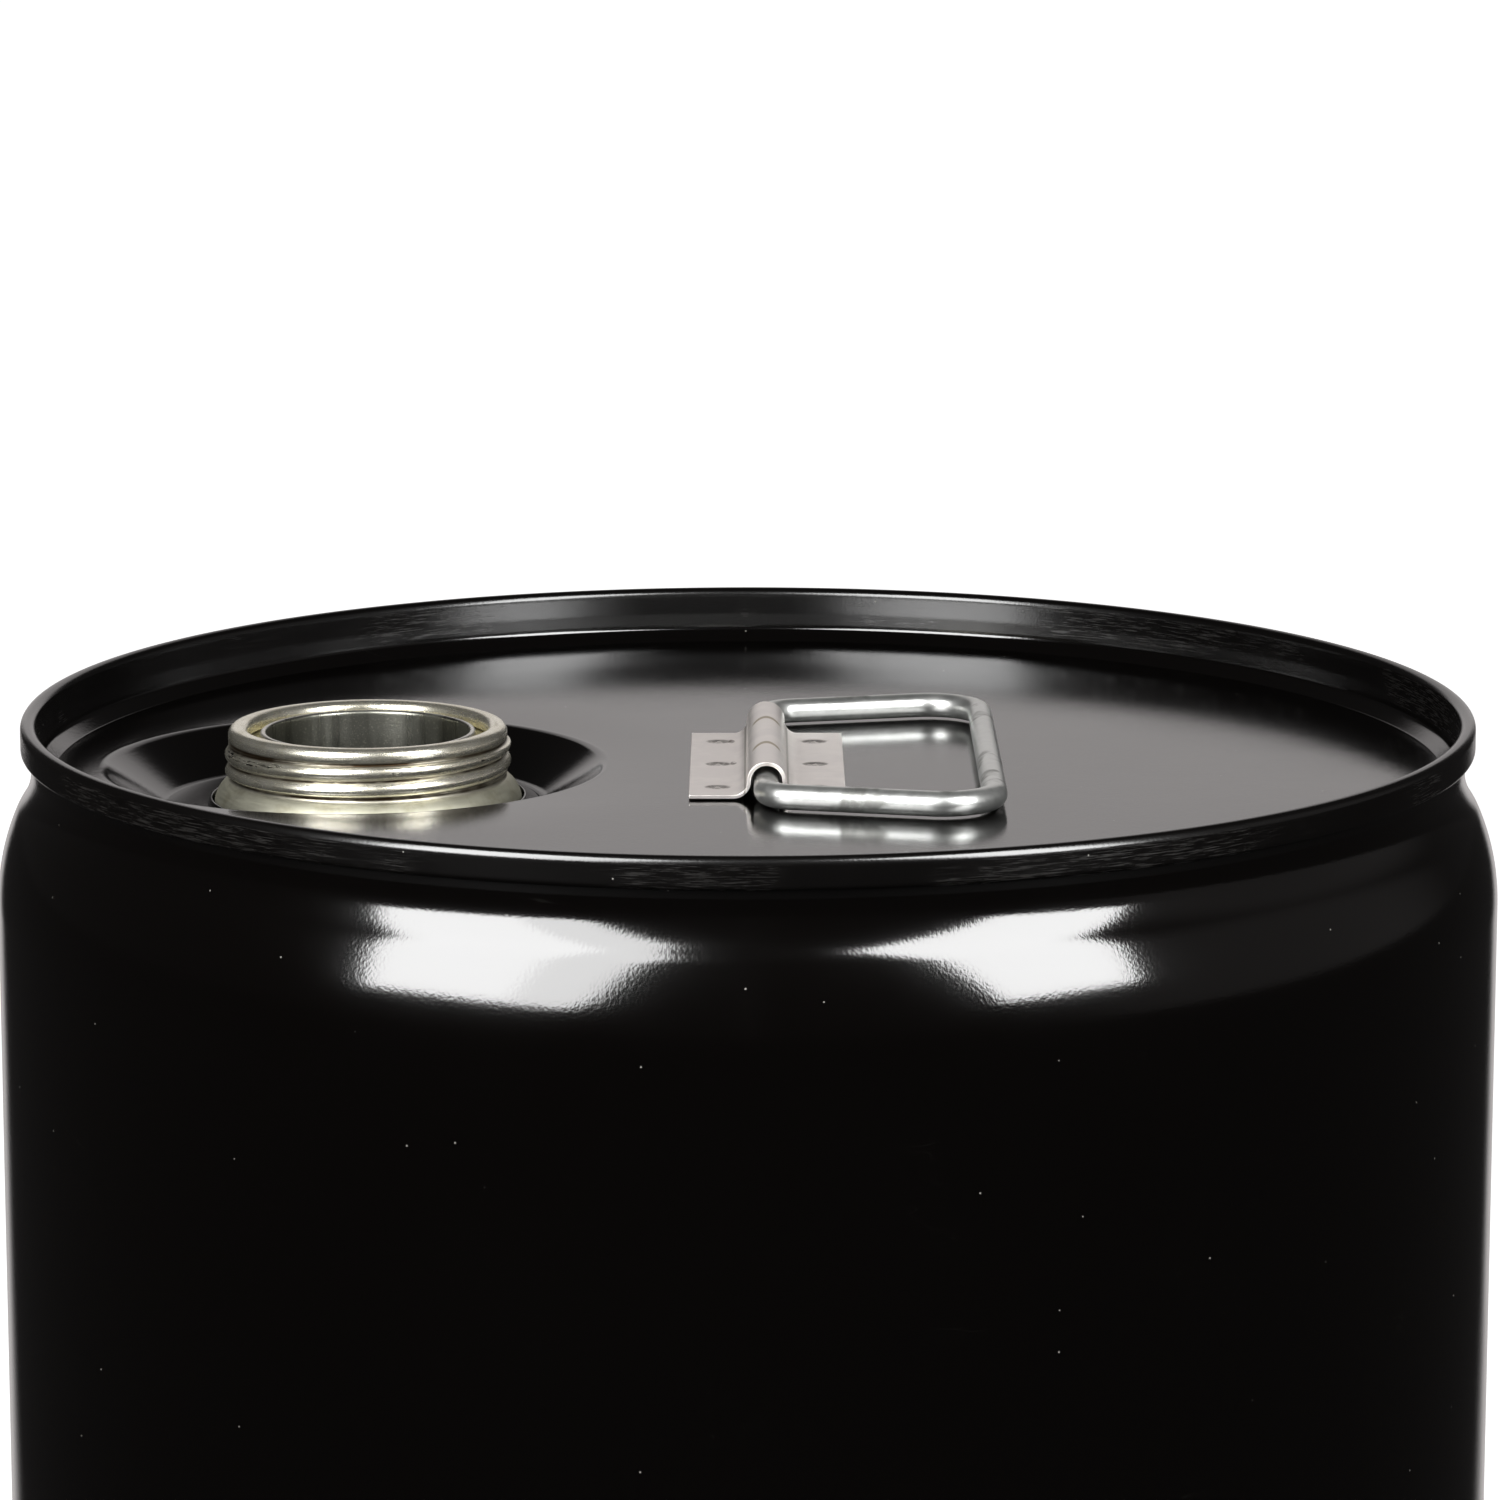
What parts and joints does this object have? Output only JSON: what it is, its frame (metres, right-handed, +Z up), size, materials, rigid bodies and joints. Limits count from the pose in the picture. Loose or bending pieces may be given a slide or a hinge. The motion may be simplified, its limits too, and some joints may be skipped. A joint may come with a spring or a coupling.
{
  "type": "steel oil drum",
  "caption": "Small tight-head steel drum with double-seamed heads, a recessed threaded filling neck and a wire handle that swings in a welded strap bracket.",
  "frame": {"origin": "centre of the drum's axis at the plane the bottom seam stands on", "axes": "+Z up along the drum's axis; -X towards the screw neck, +X towards the resting handle; the handle turns about a line along Y"},
  "size_m": [0.2924, 0.2924, 0.34],
  "materials": {
    "black_paint": "gloss black baked enamel on steel sheet",
    "seam_compound": "matte solvent-cast seaming compound",
    "tinplate": "satin tinplate with a faint yellow lacquer",
    "gasket_rubber": "matte black",
    "cream_lining": "matte cream lining compound",
    "satin_strap": "satin, pale warm grey",
    "zinc_wire": "bright zinc plate"
  },
  "bodies": {
    "drum": {"body_shell": "black_paint", "top_head": "black_paint", "bottom_head": "black_paint", "top_seam_compound": "seam_compound", "bottom_seam_compound": "seam_compound", "screw_neck": "tinplate", "neck_sleeve": "tinplate", "neck_gasket": "gasket_rubber", "neck_channel_seal": "cream_lining", "handle_bracket": "satin_strap"},
    "handle": {"handle": "zinc_wire"}
  },
  "joints": [
    {"name": "handle_swing", "type": "hinge", "parent": "drum", "child": "handle", "pos_m": [0.0035, -0.0035, 0.3317], "axis": [0, -1, 0], "range_deg": [0, 180]}
  ]
}
